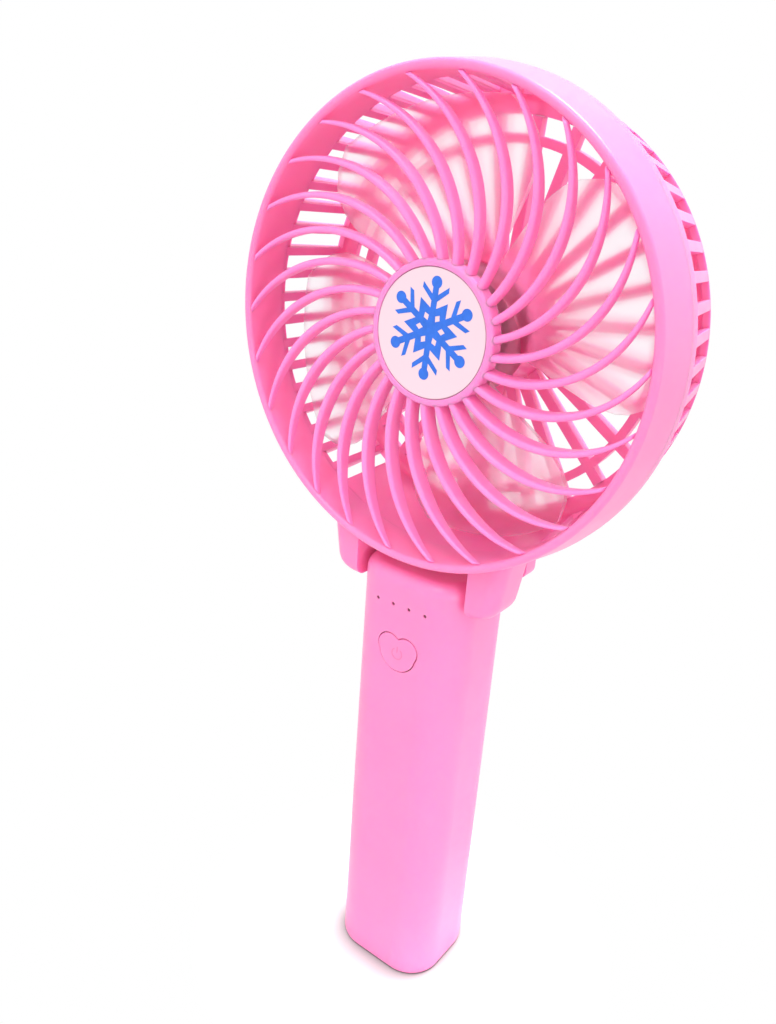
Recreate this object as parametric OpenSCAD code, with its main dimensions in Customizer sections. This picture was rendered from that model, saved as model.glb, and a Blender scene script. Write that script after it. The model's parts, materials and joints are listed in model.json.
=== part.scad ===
// Rechargeable handheld fan: a round caged head on a two-lug fork, tilting on a
// rounded-square battery handle that also stands upright on its flat base.
// Frame: origin at the middle of the base, +Z up, the grille faces -Y, millimetres.

/* [Head] */
// Outside diameter of the head at its front band
head_d = 104; // [98:1:110]
// Height of the front band above the top of the handle
neck_gap = 3.6; // [3:0.1:5]
// How far the front lip stands ahead of the middle of the handle
lip_front = 15.4; // [14:0.2:18]
// Wall of the front band
band_wall = 2; // [1.6:0.1:2.4]
// Depth of the front band, from the lip to the parting line of the cage
band_depth = 11; // [10:0.2:11.6]
// Radius at which the side of the cage turns over to the back
cage_corner = 3; // [2.4:0.2:3.6]
// Length of the slotted side, from the parting line to the turned corner
cage_side = 18.6; // [17:0.2:19.6]
// How much the slotted side narrows towards the back
cage_taper = 2; // [1:0.1:2.4]
// Wall of the cage
cage_wall = 1.6; // [1.4:0.1:2]
// How far the middle of the rear dome stands behind its rim
dome_rise = 2; // [1.4:0.1:3]

/* [Front grille] */
// Number of swirled vanes
vane_count = 26; // [16:1:30]
// Thickness of a vane
vane_t = 1.4; // [1.1:0.1:1.8]
// Depth of a vane, front to back
vane_depth = 4.4; // [3.6:0.2:4.6]
// Radius of the arc that a vane follows
vane_arc_r = 30.3; // [29.6:0.1:32]
// Distance of that arc's centre from the fan's axis
vane_arc_offset = 31.4; // [30.6:0.1:32.6]
// How far the vanes sit behind the lip
vane_setback = 1; // [0.8:0.1:2]
// Lean of the vanes, which fall back towards the hub, in degrees
vane_lean = 4.6; // [2:0.2:5]
// Turn of the first vane's outer end from the +X side
vane_phase = 0.6; // [0:0.2:13.8]
// Outside diameter of the ring round the badge
hub_d = 31; // [29.6:0.2:34]
// Diameter of the round badge
badge_d = 27.6; // [22:0.2:28]
// Thickness of the badge
badge_t = 0.8; // [0.5:0.1:1.2]

/* [Rear cage] */
// Number of side slots in a full turn
slot_count = 56; // [40:2:64]
// Width of a bar between two side slots
slot_bar = 2.2; // [1.6:0.1:2.6]
// Half of the unslotted arc above the fork, in degrees
slot_free = 31; // [30:1:40]
// Number of straight spokes on the back
spoke_count = 28; // [20:2:32]
// Width of a spoke
spoke_w = 2.4; // [1.8:0.1:2.8]
// Depth of a spoke
spoke_t = 2.4; // [1.8:0.1:3]
// Middle radius of the ring that ties the spokes
tie_r = 39.8; // [34:0.2:41]
// Width of the rib that hides the motor leads
duct_w = 7; // [5:0.5:9]

/* [Rotor and motor] */
// Number of blades
blade_count = 4; // [3:1:4]
// Radius of the blade tips
blade_r = 47.6; // [43:0.2:48.4]
// Angle that one blade covers, in degrees
blade_arc = 76; // [60:1:86]
// Thickness of a blade
blade_t = 1.4; // [1:0.1:1.8]
// Front-to-back reach of a blade
blade_rise = 10; // [7:0.5:10.5]
// Turn of the first blade's middle from the +X side
blade_phase = 17.5; // [0:0.5:90]
// Radius of the rotor hub
rotor_r = 14.6; // [14.4:0.2:15.4]
// Length of the rotor hub
rotor_l = 11.6; // [11:0.2:12.2]
// Diameter of the motor can
motor_d = 24.4; // [20:0.2:24.6]
// Length of the motor can
motor_l = 16; // [15:0.5:16.5]
// Diameter of the motor shaft
shaft_d = 2; // [1.6:0.1:2.4]

/* [Fork and hinge] */
// Depth of the hinge axis below the top of the handle
hinge_depth = 2.8; // [2.6:0.1:3.1]
// How far the hinge axis lies ahead of the middle of the handle
hinge_ahead = 3; // [2.5:0.1:3.5]
// Thickness of a fork lug
lug_t = 7.7; // [7:0.1:8.5]
// How far a lug reaches ahead of the hinge axis
lug_ahead = 8.7; // [7:0.1:9]
// How far a lug reaches behind the hinge axis
lug_behind = 4; // [3.7:0.1:5]
// How far a screw boss stands behind a lug
boss_reach = 3; // [2:0.1:4]
// How far a lug reaches below the hinge axis
lug_drop = 3.8; // [3.7:0.1:4.6]
// Rounding of a lug's outer bottom corner
lug_round = 6; // [4:0.2:6.6]
// Rounding of a lug's upright outer edges
lug_edge = 4.6; // [4:0.2:5]
// How much a lug widens outwards from its foot up to the band
lug_flare = 2.2; // [1.4:0.1:2.6]
// Diameter of a hinge pin
pin_d = 3.5; // [3:0.1:3.7]
// Wall of a hinge bush
bush_wall = 0.75; // [0.6:0.05:0.8]
// Length of a hinge bush
bush_l = 5; // [4:0.2:5.4]

/* [Handle] */
// Width of the handle
handle_w = 30.6; // [29:0.2:34]
// Depth of the handle
handle_dp = 28; // [27:0.2:30]
// Corner rounding of the handle, seen from above
handle_r = 9.4; // [7:0.2:10]
// Height of the handle
handle_top = 119.6; // [119.4:0.1:119.9]
// Wall of the handle
handle_wall = 2.2; // [1.8:0.1:2.6]
// Rounding of the top edge
top_round = 3.2; // [2:0.2:4]
// Rounding of the bottom edge
foot_round = 1.2; // [0.6:0.1:2]
// Slope of the back of the top, in degrees
top_slope = 42; // [41:0.5:45]
// Thickness of the rear cover
cover_t = 3.5; // [3.2:0.1:4]

/* [Controls and power] */
// Width of the power button
button_w = 11.2; // [9:0.2:11.4]
// Depth of the button's middle below the top of the handle
button_depth = 21; // [19.6:0.2:22.6]
// Travel of the button
button_travel = 0.6; // [0.4:0.1:0.7]
// Number of charge lights
led_count = 4; // [3:1:5]
// Pitch of the charge lights
led_pitch = 4.56; // [3.6:0.04:4.6]
// Depth of the charge lights below the top of the handle
led_depth = 8.3; // [8:0.1:9]
// Diameter of a charge light
led_d = 0.8; // [0.7:0.1:1.2]
// Diameter of the battery cell
cell_d = 18.4; // [18:0.1:18.6]
// Length of the battery cell without its nub
cell_l = 63.5; // [58:0.5:64]

/* [Clearances] */
// Gap between a lug and the side of the handle
lug_gap = 0.4; // [0.3:0.05:0.5]
// Radial gap of a running fit
run_gap = 0.05; // [0.03:0.01:0.08]
// Gap between seated parts
seat_gap = 0.05; // [0.03:0.01:0.1]
// Gap round the power button
button_gap = 0.25; // [0.2:0.05:0.35]

/* [Hidden] */
$fn = 64;

// Colours
pink = [1, 0.62, 0.83];
pale = [0.99, 0.9, 0.94];
steel = [0.76, 0.77, 0.79];
brass = [0.82, 0.68, 0.4];
black = [0.12, 0.12, 0.13];
green = [0.08, 0.36, 0.2];

// Front band and cage, as radius and y
head_r = head_d / 2;
head_z = handle_top + neck_gap + head_r;
band_in_r = head_r - band_wall;
part_y = band_depth - lip_front;
hoop_t = 2.2;
hoop_in_t = 0.8;
side_r = head_r - cage_taper;
corner_y = part_y + cage_side;
rim_y = corner_y + cage_corner;
rim_r = side_r - cage_corner - 2.4;
slot_step = 360 / slot_count;
slot_end = corner_y + 0.3;

// Front grille, drawn with its own z towards the front
vane_front = lip_front - vane_setback;
grille_r = band_in_r - seat_gap;
hub_r = hub_d / 2;
function arc_turn(r) =
    acos((r * r + pow(vane_arc_offset, 2) - pow(vane_arc_r, 2)) / (2 * r * vane_arc_offset));
vane_turn = arc_turn(grille_r);
trim_reach = 4;
vane_fall = (grille_r - hub_r * cos(arc_turn(hub_r) - vane_turn)) * tan(vane_lean);
hub_front = vane_front - vane_fall + 0.3;
hub_t = 3.6;
badge_r = badge_d / 2;
badge_seat = hub_front - badge_t - 0.2;
hub_soft = 0.8;

// Rotor and motor along the fan's axis
rotor_front = hub_t - hub_front + 1.6;
rotor_back = rotor_front + rotor_l;
rotor_wall = 1.6;
blade_front = rotor_front + 1.2;
blade_root = rotor_r - 0.6;
shaft_r = shaft_d / 2;
boss_r = shaft_r + 2;
motor_r = motor_d / 2;
boss_back = rotor_front + 3.8;
nose_r = 3.2;
nose_l = 1.6;
motor_front = boss_back + 0.5 + nose_l;
motor_back = motor_front + motor_l;
bell_t = 1.4;
bell_back = motor_back + bell_t;
armature_r = motor_r - 4;
cup_in_r = motor_r + seat_gap;
cup_r = cup_in_r + 2.2;
cup_front = rotor_back + 0.8;
cup_floor = bell_back + seat_gap;
cup_back = cup_floor + 3;
dome_y = rim_y + dome_rise;
dome_c = (pow(rim_r, 2) + pow(rim_y, 2) - pow(cup_r, 2) - pow(dome_y, 2)) / (2 * (rim_y - dome_y));
dome_reach = 4;
dome_r = sqrt(pow(rim_r, 2) + pow(rim_y - dome_c, 2));
motor_screw_x = motor_r - 4.5;

// Fork and hinge
hinge_y = -hinge_ahead;
hinge_z = handle_top - hinge_depth;
lug_in = handle_w / 2 + lug_gap;
lug_out = lug_in + lug_t;
lug_front = hinge_y - lug_ahead;
lug_back = hinge_y + lug_behind;
lug_foot = hinge_z - lug_drop;
lug_wide = lug_out + lug_flare;
lug_top = head_z - sqrt(pow(head_r, 2) - pow(lug_wide, 2)) + band_wall + 1;
lug_soft = 1.2;
pin_r = pin_d / 2;
pin_root = handle_w / 2 - 6;
bush_in_r = pin_r + run_gap;
bush_r = bush_in_r + bush_wall;
bush_face = lug_in + seat_gap;
pin_tip = bush_face + bush_l - 0.2;
ear_w = 5.4;
ear_t = 4.4;
ear_x = lug_out - 1.4 - ear_w / 2;
lug_boss = lug_back + boss_reach;
ear_y = lug_boss + seat_gap;
ear_rise = 9;
ear_z = lug_foot + ear_rise;
screw_r = 1;
head_screw_r = 1.9;
head_screw_t = 1.2;

// Handle
front_y = -handle_dp / 2;
wall_y = front_y + handle_wall;
part_back = handle_dp / 2 - cover_t;
cavity_w = handle_w - 2 * handle_wall;
cavity_d = handle_dp - 2 * handle_wall;
cavity_r = handle_r - handle_wall;
slope_y = 1;
floor_t = 5;
shelf_t = 6;
cell_foot = floor_t + 3;
nub_t = 1.5;
contact_t = 0.5;
contact_w = 12;
contact_d = 8;
nub_d = 6;
shelf_z = cell_foot + cell_l + nub_t + contact_t + 2 * seat_gap;
room_z = shelf_z + shelf_t;
room_top = hinge_z - pin_r - 1.7;
room_back = 1.5;
low_room_depth = 18.6;
low_room_top = handle_top - low_room_depth;
cradle_t = 2;
cradle_low = 8;
cradle_high = 14;
cover_screw_depth = 14.6;
cover_screw_z = [shelf_z + shelf_t / 2, handle_top - cover_screw_depth];
cover_screw_l = 8;

// Button, board and what the board carries
button_z = handle_top - button_depth;
led_z = handle_top - led_depth;
flange_t = 0.8;
flange_w = 0.9;
button_face = front_y - 0.15;
flange_y = wall_y + 0.3;
switch_front = flange_y + flange_t + button_travel + 0.3;
switch_t = 2;
board_y = switch_front + switch_t;
board_t = 1.2;
board_w = 18;
board_foot = room_z + 1;
board_top = room_top - 1;
post_r = 2.2;
post_x = board_w / 2 - 2.6;
post_z = board_foot + 3;
led_room = 1.2;
pipe_r = led_d / 2;
pipe_back = board_y - led_room;
usb_w = 8.4;
usb_h = 3;
usb_l = 9;
usb_rise = 12;
usb_z = board_foot + usb_rise;
usb_y = board_y + board_t + seat_gap;

// Places a shape drawn from the front, z towards the viewer, on the fan's axis
module on_head() {
    translate([0, 0, head_z]) rotate([90, 0, 0]) children();
}

// Turns a profile of radius and y about the fan's axis
module about_axis() {
    translate([0, 0, head_z]) rotate([90, 0, 0]) rotate_extrude($fn = 128) mirror([0, 1]) children();
}

// A rectangle between two opposite corners
module span(a, b) {
    translate(a) square(b - a);
}

// A round bar along X
module bar_x(r, x0, x1) {
    translate([x0, 0, 0]) rotate([0, 90, 0]) cylinder(r = r, h = x1 - x0);
}

// A round bar along Y
module bar_y(r, y0, y1) {
    translate([0, y0, 0]) rotate([-90, 0, 0]) cylinder(r = r, h = y1 - y0);
}

// The shape and its mirror image across the middle plane
module both_sides() {
    children();
    mirror([1, 0, 0]) children();
}

// An outline drawn from the front as x and z, made solid from y0 to y1
module from_front(y0, y1) {
    translate([0, y1, 0]) rotate([90, 0, 0]) linear_extrude(y1 - y0) children();
}

// A pan-head screw along Y, its head to the back, with a cross recess
module pan_screw(seat, tip, r, head_r, head_t) {
    bar_y(r, tip, seat);
    difference() {
        bar_y(head_r, seat, seat + head_t);
        translate([-head_r * 0.6, seat + head_t * 0.45, -0.25]) cube([head_r * 1.2, head_t, 0.5]);
        translate([-0.25, seat + head_t * 0.45, -head_r * 0.6]) cube([0.5, head_t, head_r * 1.2]);
    }
}

// Fork lug on the +X side: its outlines from the front, from above and from the side
module lug() {
    intersection() {
        from_front(lug_front, lug_back) {
            span([lug_in, lug_foot], [lug_out - lug_round, lug_top]);
            polygon([[lug_in, lug_foot + lug_round], [lug_out, lug_foot + lug_round], [lug_wide, lug_top],
                [lug_in, lug_top]]);
            translate([lug_out - lug_round, lug_foot + lug_round]) circle(lug_round);
        }
        translate([0, 0, lug_foot - 1]) linear_extrude(lug_top - lug_foot + 2) {
            span([lug_in, lug_front], [lug_wide - lug_edge, lug_back]);
            span([lug_in, lug_front + lug_edge], [lug_wide, lug_back - lug_edge]);
            for (y = [lug_front + lug_edge, lug_back - lug_edge])
                translate([lug_wide - lug_edge, y]) circle(lug_edge);
        }
        translate([lug_in - 1, 0, 0]) rotate([90, 0, 90]) linear_extrude(lug_wide - lug_in + 2) {
            span([lug_front, lug_foot + lug_soft], [lug_back, lug_top]);
            span([lug_front + lug_soft, lug_foot], [lug_back - lug_soft, lug_top]);
            for (y = [lug_front + lug_soft, lug_back - lug_soft])
                translate([y, lug_foot + lug_soft]) circle(lug_soft);
        }
    }
}

// Front band with its rounded lip and the two lugs of the fork
module front_shell() {
    color(pink) difference() {
        union() {
            about_axis() {
                span([band_in_r, -lip_front + band_wall / 2], [head_r, part_y]);
                translate([head_r - band_wall / 2, -lip_front + band_wall / 2]) circle(band_wall / 2);
            }
            difference() {
                both_sides() {
                    lug();
                    translate([ear_x, 0, ear_z]) bar_y(ear_w / 2 - 0.4, hinge_y, lug_boss);
                }
                translate([0, 0, head_z]) bar_y(head_r - band_wall / 2, -lip_front, dome_y);
            }
        }
        translate([0, 0, head_z]) bar_y(head_r + seat_gap, part_y, dome_y);
        both_sides() translate([0, hinge_y, hinge_z])
            bar_x(bush_r + 0.02, lug_in - 1, bush_face + bush_l + 0.3);
        both_sides() translate([ear_x, 0, ear_z]) bar_y(screw_r, hinge_y + 1, lug_boss + 1);
    }
}

// One vane: a round-nosed strip swept along an arc from the hub out to the band
module vane() {
    ends = [for (r = [hub_r - 1, grille_r + 1])
        acos((pow(vane_arc_r, 2) + pow(vane_arc_offset, 2) - r * r) / (2 * vane_arc_r * vane_arc_offset))];
    rotate([0, -vane_lean, 0]) translate([0, 0, -grille_r * tan(vane_lean)])
        rotate(vane_turn) translate([vane_arc_offset, 0, 0]) rotate(180 + ends[0])
        rotate_extrude(angle = ends[1] - ends[0], $fn = 96) translate([vane_arc_r, 0]) {
            span([-vane_t / 2, vane_front - vane_depth], [vane_t / 2, vane_front - vane_t / 2]);
            translate([0, vane_front - vane_t / 2]) circle(vane_t / 2);
        }
}

// Swirled vanes joined to the dish that carries the badge
module front_grille() {
    color(pink) on_head() {
        intersection() {
            for (i = [0 : vane_count - 1]) rotate(vane_phase + i * 360 / vane_count) vane();
            translate([0, 0, vane_front - vane_depth - trim_reach])
                linear_extrude(vane_depth + 2 * trim_reach)
                difference() {
                    circle(grille_r, $fn = 128);
                    circle(hub_r - 0.5);
                }
        }
        difference() {
            rotate_extrude($fn = 128) {
                span([0, hub_front - hub_t], [hub_r, hub_front - hub_soft]);
                span([0, hub_front - hub_t], [hub_r - hub_soft, hub_front]);
                translate([hub_r - hub_soft, hub_front - hub_soft]) circle(hub_soft);
            }
            translate([0, 0, badge_seat]) cylinder(r = badge_r + 0.15, h = hub_t);
        }
    }
}

// Round badge lying in the dish
module hub_badge() {
    color(pale) on_head() translate([0, 0, badge_seat]) cylinder(r = badge_r, h = badge_t);
}

// Slotted side of the cage, with a hoop that closes on the front band
module rear_ring() {
    first = ceil((slot_free - 90) / slot_step - 0.5);
    last = floor((270 - slot_free) / slot_step - 0.5);
    slot_w = slot_step * head_r * PI / 180 - slot_bar;
    front = part_y + seat_gap;
    color(pink) difference() {
        union() {
            difference() {
                about_axis() {
                    polygon([[head_r - cage_wall, front], [head_r, front], [side_r, corner_y],
                        [side_r - cage_wall, corner_y]]);
                    translate([side_r - cage_corner, corner_y]) intersection() {
                        difference() {
                            circle(cage_corner);
                            circle(cage_corner - cage_wall);
                        }
                        square(cage_corner + 1);
                    }
                    span([rim_r, rim_y - cage_wall], [side_r - cage_corner, rim_y]);
                }
                on_head() translate([0, 0, -slot_end]) linear_extrude(slot_end - front - hoop_in_t / 2)
                    for (i = [first : last]) rotate((i + 0.5) * slot_step)
                        translate([head_r - 5, -slot_w / 2]) square([8, slot_w]);
            }
            about_axis() polygon([[head_r - cage_wall, front], [head_r, front], [head_r, front + hoop_t],
                [head_r - cage_wall, front + hoop_in_t]]);
            both_sides() cage_ear();
        }
        both_sides() translate([ear_x, 0, ear_z]) {
            bar_y(screw_r + 0.2, ear_y - 1, rim_y);
            bar_y(head_screw_r + 0.2, ear_y + ear_t - head_screw_t, rim_y);
        }
    }
}

// Screw ear of the cage, lying on the back of a lug
module cage_ear() {
    difference() {
        from_front(ear_y, ear_y + ear_t) {
            translate([ear_x, ear_z]) circle(ear_w / 2);
            span([ear_x - ear_w / 2, ear_z], [ear_x + ear_w / 2, lug_top + 2]);
        }
        translate([0, 0, head_z]) bar_y((head_r + side_r - cage_wall) / 2, 0, dome_y);
    }
}

// Flat layout of the back of the cage: spokes, tie ring and the wide rib
module spoke_plan() {
    difference() {
        union() {
            for (i = [0 : spoke_count - 1]) rotate((i + 0.5) * 360 / spoke_count)
                translate([0, -spoke_w / 2]) square([rim_r, spoke_w]);
            rotate(-90) translate([0, -duct_w / 2]) square([rim_r, duct_w]);
        }
        circle(cup_r - 0.6);
    }
    difference() {
        circle(tie_r + 1);
        circle(tie_r - 1);
    }
}

// Domed back of the cage with the cup that holds the motor
module rear_grille() {
    color(pink) difference() {
        union() {
            intersection() {
                translate([0, dome_c, head_z]) difference() {
                    sphere(r = dome_r, $fn = 180);
                    sphere(r = dome_r - spoke_t, $fn = 180);
                }
                on_head() translate([0, 0, -dome_y - dome_reach]) linear_extrude(dome_rise + 2 * dome_reach)
                    intersection() {
                        spoke_plan();
                        circle(rim_r - seat_gap);
                    }
            }
            about_axis() {
                span([cup_in_r, cup_front], [cup_r, cup_back - 1.5]);
                polygon([[0, cup_floor], [cup_in_r, cup_floor], [cup_r, cup_back - 1.5],
                    [cup_r - 1.5, cup_back], [0, cup_back]]);
            }
        }
        both_sides() translate([motor_screw_x, 0, head_z]) {
            bar_y(screw_r + 0.1, cup_floor - 1, cup_back + 1);
            bar_y(head_screw_r + 0.1, cup_back - 1, cup_back + 1);
        }
    }
}

// Screws through the ears into the lugs
module cage_screws() {
    seat = ear_y + ear_t - head_screw_t + seat_gap;
    color(steel) both_sides() translate([ear_x, 0, ear_z])
        pan_screw(seat, hinge_y + 1.2, screw_r - 0.05, head_screw_r, head_screw_t - 0.1);
}

// A point of a blade: u runs from root to tip, v from the rear edge to the front edge
function blade_point(u, v, lift) =
    let (r = blade_root + u * (blade_r - blade_root),
        half = blade_arc / 2 - 14 * pow(u, 6) - 3 * pow(1 - u, 2),
        a = v * half,
        y = blade_front + blade_rise * (0.5 - a / blade_arc) + 0.9 * u * cos(90 * v))
    [r * cos(a), r * sin(a), lift - y];

// One twisted blade, a closed sheet with eased tips
module blade() {
    rows = 12;
    cols = 14;
    n = (rows + 1) * (cols + 1);
    grid = [for (lift = [blade_t / 2, -blade_t / 2]) for (i = [0 : rows]) for (j = [0 : cols])
        blade_point(i / rows, 2 * j / cols - 1, lift)];
    function at(s, i, j) = s * n + i * (cols + 1) + j;
    front = [for (i = [0 : rows - 1]) for (j = [0 : cols - 1])
        each [[at(0, i, j), at(0, i, j + 1), at(0, i + 1, j + 1)],
            [at(0, i, j), at(0, i + 1, j + 1), at(0, i + 1, j)]]];
    back = [for (i = [0 : rows - 1]) for (j = [0 : cols - 1])
        each [[at(1, i, j), at(1, i + 1, j + 1), at(1, i, j + 1)],
            [at(1, i, j), at(1, i + 1, j), at(1, i + 1, j + 1)]]];
    rear_edge = [for (i = [0 : rows - 1])
        each [[at(0, i, 0), at(0, i + 1, 0), at(1, i + 1, 0)],
            [at(0, i, 0), at(1, i + 1, 0), at(1, i, 0)]]];
    front_edge = [for (i = [0 : rows - 1])
        each [[at(0, i, cols), at(1, i + 1, cols), at(0, i + 1, cols)],
            [at(0, i, cols), at(1, i, cols), at(1, i + 1, cols)]]];
    root = [for (j = [0 : cols - 1])
        each [[at(0, 0, j), at(1, 0, j + 1), at(0, 0, j + 1)],
            [at(0, 0, j), at(1, 0, j), at(1, 0, j + 1)]]];
    tip = [for (j = [0 : cols - 1])
        each [[at(0, rows, j), at(0, rows, j + 1), at(1, rows, j + 1)],
            [at(0, rows, j), at(1, rows, j + 1), at(1, rows, j)]]];
    polyhedron(points = grid, faces = concat(front, back, rear_edge, front_edge, root, tip), convexity = 4);
}

// Rotor: an open-backed hub with a shaft boss, carrying the blades
module impeller() {
    color(pale) {
        on_head() for (i = [0 : blade_count - 1]) rotate(blade_phase + i * 360 / blade_count) blade();
        difference() {
            about_axis() {
                span([0, rotor_front], [rotor_r, rotor_front + rotor_wall]);
                span([rotor_r - rotor_wall, rotor_front], [rotor_r, rotor_back]);
                span([0, rotor_front], [boss_r, boss_back]);
            }
            translate([0, 0, head_z]) bar_y(shaft_r + 0.02, rotor_front + 1, boss_back + 1);
        }
    }
}

// Motor shaft, from the rotor's boss to the end bell
module motor_shaft() {
    color(steel) translate([0, 0, head_z]) bar_y(shaft_r, rotor_front + 1.1, bell_back - 0.3);
}

// Armature on the shaft
module motor_rotor() {
    color(brass) about_axis()
        span([shaft_r + 0.02, motor_front + nose_l + 0.6], [armature_r, motor_back - 0.8]);
}

// Steel can with its magnets
module motor_can() {
    color(steel) about_axis() {
        span([nose_r + 0.02, motor_front], [motor_r, motor_front + 1]);
        span([motor_r - 0.8, motor_front], [motor_r, motor_back - seat_gap]);
        span([armature_r + 0.5, motor_front + 2], [motor_r, motor_back - 0.8]);
    }
}

// Bearing bush in the nose of the motor
module motor_bush() {
    color(brass) about_axis()
        span([shaft_r + run_gap, motor_front - nose_l], [nose_r, motor_front + nose_l]);
}

// Moulded end of the motor with its rear bearing
module motor_end_bell() {
    color(black) difference() {
        translate([0, 0, head_z]) bar_y(motor_r, motor_back, bell_back);
        translate([0, 0, head_z]) bar_y(shaft_r + run_gap, motor_back - 1, bell_back - 0.2);
        both_sides() translate([motor_screw_x, 0, head_z]) bar_y(screw_r, motor_back - 1, bell_back + 1);
    }
}

// Screws through the cup into the end bell
module motor_screws() {
    color(steel) both_sides() translate([motor_screw_x, 0, head_z])
        pan_screw(cup_back - 1 + seat_gap, motor_back + 0.1, screw_r - 0.05, head_screw_r, 0.9);
}

// Hinge pin on the +X side, fixed in the handle
module hinge_pin_right() {
    color(steel) translate([0, hinge_y, hinge_z]) bar_x(pin_r, pin_root + 0.1, pin_tip);
}

// Hinge pin on the -X side
module hinge_pin_left() {
    mirror([1, 0, 0]) hinge_pin_right();
}

// Plain bush in the +X lug
module hinge_bush_right() {
    color(pale) translate([0, hinge_y, hinge_z]) difference() {
        bar_x(bush_r, bush_face, bush_face + bush_l);
        bar_x(bush_in_r, bush_face - 1, bush_face + bush_l + 1);
    }
}

// Plain bush in the -X lug
module hinge_bush_left() {
    mirror([1, 0, 0]) hinge_bush_right();
}

// A rectangle with round corners
module soft_rect(w, d, r) {
    square([w - 2 * r, d], center = true);
    square([w, d - 2 * r], center = true);
    for (x = [-1, 1], y = [-1, 1]) translate([x * (w / 2 - r), y * (d / 2 - r)]) circle(r);
}

// Half of an upright outline with rounded bottom and top edges
module soft_side(w, h, e, t) {
    span([0, 0], [w - e, h - t]);
    span([0, e], [w, h - t]);
    span([0, e], [w - t, h]);
    translate([w - e, e]) circle(e);
    translate([w - t, h - t]) circle(t);
}

// Upright column with round corners and rounded bottom and top edges
module soft_column(w, d, r, e, t, h) {
    for (x = [-1, 1], y = [-1, 1]) translate([x * (w / 2 - r), y * (d / 2 - r), 0])
        rotate_extrude() soft_side(r, h, e, t);
    from_front(r - d / 2, d / 2 - r) both_sides() soft_side(w / 2, h, e, t);
    rotate([0, 0, 90]) from_front(r - w / 2, w / 2 - r) both_sides() soft_side(d / 2, h, e, t);
}

// Outer form of the whole handle, its top sloping down at the back
module handle_form() {
    drop = handle_dp * tan(top_slope);
    difference() {
        soft_column(handle_w, handle_dp, handle_r, foot_round, top_round, handle_top);
        translate([-handle_w, 0, 0]) rotate([90, 0, 90]) linear_extrude(2 * handle_w)
            polygon([[slope_y, handle_top], [slope_y + handle_dp, handle_top - drop],
                [slope_y + handle_dp, handle_top + 1], [slope_y, handle_top + 1]]);
    }
}

// Outline of the button from the front: two lobes with a soft notch above a round foot
module button_plan(grow) {
    lobe = button_w * 0.28;
    lobe_x = button_w / 2 - lobe;
    lobe_z = 1.5;
    notch = 1.25;
    rise = sqrt(pow(lobe + notch - 0.05, 2) - pow(lobe_x, 2));
    web = 0.6 * (notch - grow);
    foot = button_w * 0.455;
    foot_z = 0.5;
    for (x = [-1, 1]) translate([x * lobe_x, lobe_z]) circle(lobe + grow);
    intersection() {
        translate([0, foot_z]) circle(foot + grow);
        span([-button_w, -button_w], [button_w, foot_z]);
    }
    polygon([[-foot - grow, foot_z], [foot + grow, foot_z], [button_w / 2 + grow, lobe_z],
        [-button_w / 2 - grow, lobe_z]]);
    difference() {
        span([-web, foot_z], [web, lobe_z + rise]);
        translate([0, lobe_z + rise]) circle(notch - grow);
    }
}

// Places each charge light
module each_led() {
    for (i = [0 : led_count - 1]) translate([(i - (led_count - 1) / 2) * led_pitch, 0, led_z]) children();
}

// What is hollowed out of the lower handle: the battery bay and the board room
module handle_bay() {
    difference() {
        translate([0, 0, floor_t]) linear_extrude(low_room_top - floor_t)
            soft_rect(cavity_w, cavity_d, cavity_r);
        translate([-handle_w, front_y, shelf_z]) cube([2 * handle_w, handle_dp, shelf_t]);
        for (z = [floor_t + cradle_low, shelf_z - cradle_high]) translate([0, 0, z]) difference() {
            translate([-handle_w, front_y, 0]) cube([2 * handle_w, handle_dp, cradle_t]);
            translate([0, 0, -1]) cylinder(d = cell_d + 4 * seat_gap, h = cradle_t + 2);
        }
        both_sides() translate([post_x, 0, post_z]) bar_y(post_r, front_y, board_y - seat_gap);
    }
}

// Handle shell with the battery bay, the board room and the hinge block
module handle_body() {
    color(pink) difference() {
        handle_form();
        translate([-handle_w, part_back - seat_gap, -1]) cube([2 * handle_w, handle_dp, handle_top + 2]);
        handle_bay();
        both_sides() translate([post_x, 0, post_z]) bar_y(screw_r, wall_y, board_y + 1);
        translate([0, 0, low_room_top - 1]) linear_extrude(room_top - low_room_top + 1) intersection() {
            soft_rect(cavity_w, cavity_d, cavity_r);
            span([-board_w / 2 - 0.5, -handle_dp], [board_w / 2 + 0.5, room_back]);
        }
        both_sides() translate([0, hinge_y, hinge_z]) bar_x(pin_r + 0.02, pin_root, handle_w);
        from_front(front_y - 1, wall_y + 1) translate([0, button_z]) button_plan(button_gap);
        each_led() bar_y(pipe_r + seat_gap, front_y - 1, wall_y + 1);
        translate([-handle_w, usb_y - 0.2, usb_z - usb_w / 2 - 0.2])
            cube([handle_w / 2 + usb_l, usb_h + 0.4, usb_w + 0.4]);
        for (z = cover_screw_z) translate([0, 0, z]) bar_y(screw_r, part_back - cover_screw_l, part_back + 1);
        translate([6, 0, shelf_z - 1]) cylinder(r = 1.6, h = shelf_t + 2);
    }
}

// Cover of the battery bay on the back of the handle
module rear_cover() {
    color(pink) difference() {
        intersection() {
            handle_form();
            translate([-handle_w, part_back, -1]) cube([2 * handle_w, handle_dp, handle_top + 2]);
        }
        for (z = cover_screw_z) translate([0, 0, z]) {
            bar_y(screw_r + 0.1, part_back - 1, handle_dp);
            bar_y(head_screw_r + 0.2, handle_dp / 2 - head_screw_t - 0.2, handle_dp);
        }
    }
}

// Screws through the rear cover into the shelf and the hinge block
module cover_screws() {
    seat = handle_dp / 2 - head_screw_t - 0.2 + seat_gap;
    color(steel) for (z = cover_screw_z) translate([0, 0, z])
        pan_screw(seat, part_back - cover_screw_l + 0.2, screw_r - 0.05, head_screw_r, head_screw_t);
}

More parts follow.
